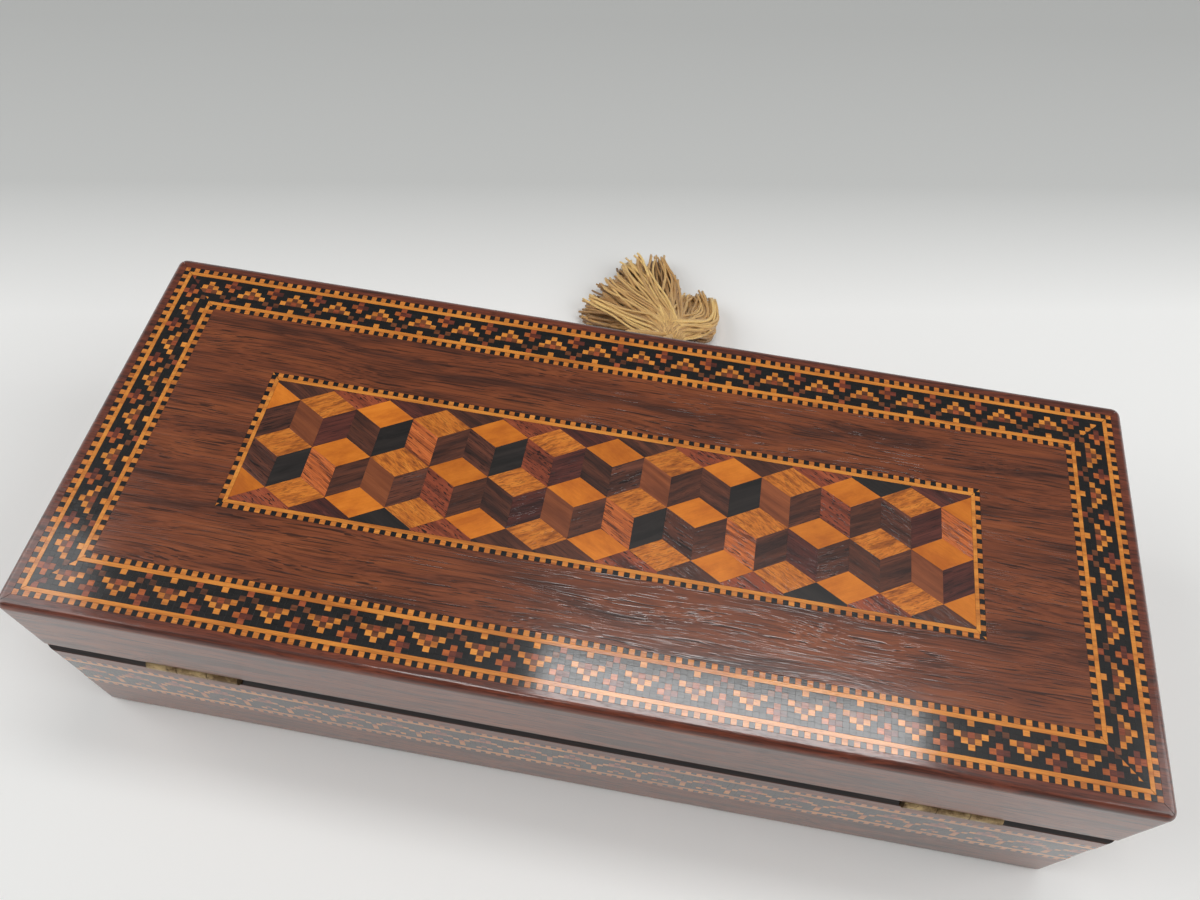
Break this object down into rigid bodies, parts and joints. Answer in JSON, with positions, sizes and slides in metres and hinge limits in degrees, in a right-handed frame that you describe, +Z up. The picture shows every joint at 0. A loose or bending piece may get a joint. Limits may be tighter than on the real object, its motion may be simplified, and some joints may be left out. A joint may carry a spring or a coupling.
{
  "type": "glove box",
  "caption": "Long low wooden box with a hinged inlaid lid, padded inside, and a small lock with its key and a gold tassel.",
  "frame": {"origin": "centre of the underside of the box, on the surface that it stands on", "axes": "+X to the right seen from the lock side, along the length; +Y from the lock side to the hinge side; +Z up"},
  "size_m": [0.24, 0.1822, 0.0615],
  "materials": {
    "rosewood": "French polished veneer, glossy",
    "carcass_wood": "planed softwood",
    "mosaic": "tesserae of dyed and natural woods, glossy",
    "chequer": "alternate light and black squares, glossy",
    "light_wood": "pale veneer under polish, glossy",
    "mid_wood": "mid brown veneer, glossy",
    "dark_wood": "dark veneer, glossy",
    "lining_silk": "quilted silk",
    "paper": "plain lining paper",
    "brass": "aged brass",
    "steel": "worn bright steel",
    "gold_thread": "twisted silk thread"
  },
  "bodies": {
    "base": {"underside_paper": "paper", "base_bottom_board": "carcass_wood", "base_front_wall": "carcass_wood", "base_back_wall": "carcass_wood", "base_left_wall": "carcass_wood", "base_right_wall": "carcass_wood", "base_front_veneer": "rosewood", "base_back_veneer": "rosewood", "base_left_veneer": "rosewood", "base_right_veneer": "rosewood", "base_front_mosaic_band": "mosaic", "base_back_mosaic_band": "mosaic", "base_left_mosaic_band": "mosaic", "base_right_mosaic_band": "mosaic", "base_wall_linings": "lining_silk", "base_floor_pad": "lining_silk", "escutcheon": "brass", "lock_case": "brass", "lock_cap_plate": "brass", "lock_screws": "brass", "hinge_left_base_leaf": "brass", "hinge_right_base_leaf": "brass", "hinge_left_pin": "brass", "hinge_right_pin": "brass", "hinge_base_screws": "brass", "lock_drill_pin": "steel", "lock_spring": "steel", "tassel_cord": "gold_thread", "tassel_head": "gold_thread", "tassel_binding": "gold_thread", "tassel_skirt": "gold_thread"},
    "lid": {"lid_top_board": "carcass_wood", "lid_front_rim": "carcass_wood", "lid_back_rim": "carcass_wood", "lid_left_rim": "carcass_wood", "lid_right_rim": "carcass_wood", "lid_field_veneer": "rosewood", "lid_edge_banding": "rosewood", "lid_front_veneer": "rosewood", "lid_back_veneer": "rosewood", "lid_left_veneer": "rosewood", "lid_right_veneer": "rosewood", "lid_mosaic_border": "mosaic", "lid_chequer_lines": "chequer", "lid_light_lines": "light_wood", "lid_cube_tops": "light_wood", "lid_cube_left_faces": "mid_wood", "lid_cube_right_faces": "dark_wood", "lid_cube_edge_pieces": "dark_wood", "lid_wall_linings": "lining_silk", "lid_pad": "lining_silk", "hinge_left_lid_leaf": "brass", "hinge_right_lid_leaf": "brass", "lid_screws": "brass", "link_plate": "brass", "link_hook": "brass"},
    "key": {"key": "steel"},
    "bolt": {"lock_bolt": "brass"}
  },
  "joints": [
    {"name": "lid_hinge", "type": "hinge", "parent": "base", "child": "lid", "pos_m": [0, 0.0475, 0.038], "axis": [-1, 0, 0], "range_deg": [0, 100]},
    {"name": "key_turn", "type": "hinge", "parent": "base", "child": "key", "pos_m": [0, -0.049, 0.025], "axis": [0, 1, 0], "range_deg": [0, 90]},
    {"name": "bolt_throw", "type": "slide", "parent": "base", "child": "bolt", "axis": [1, 0, 0], "range_m": [0, 0.0048]}
  ],
  "couplings": [
    {"joint": "key_turn", "follows": "bolt_throw", "rad_per_m": 327.2}
  ]
}
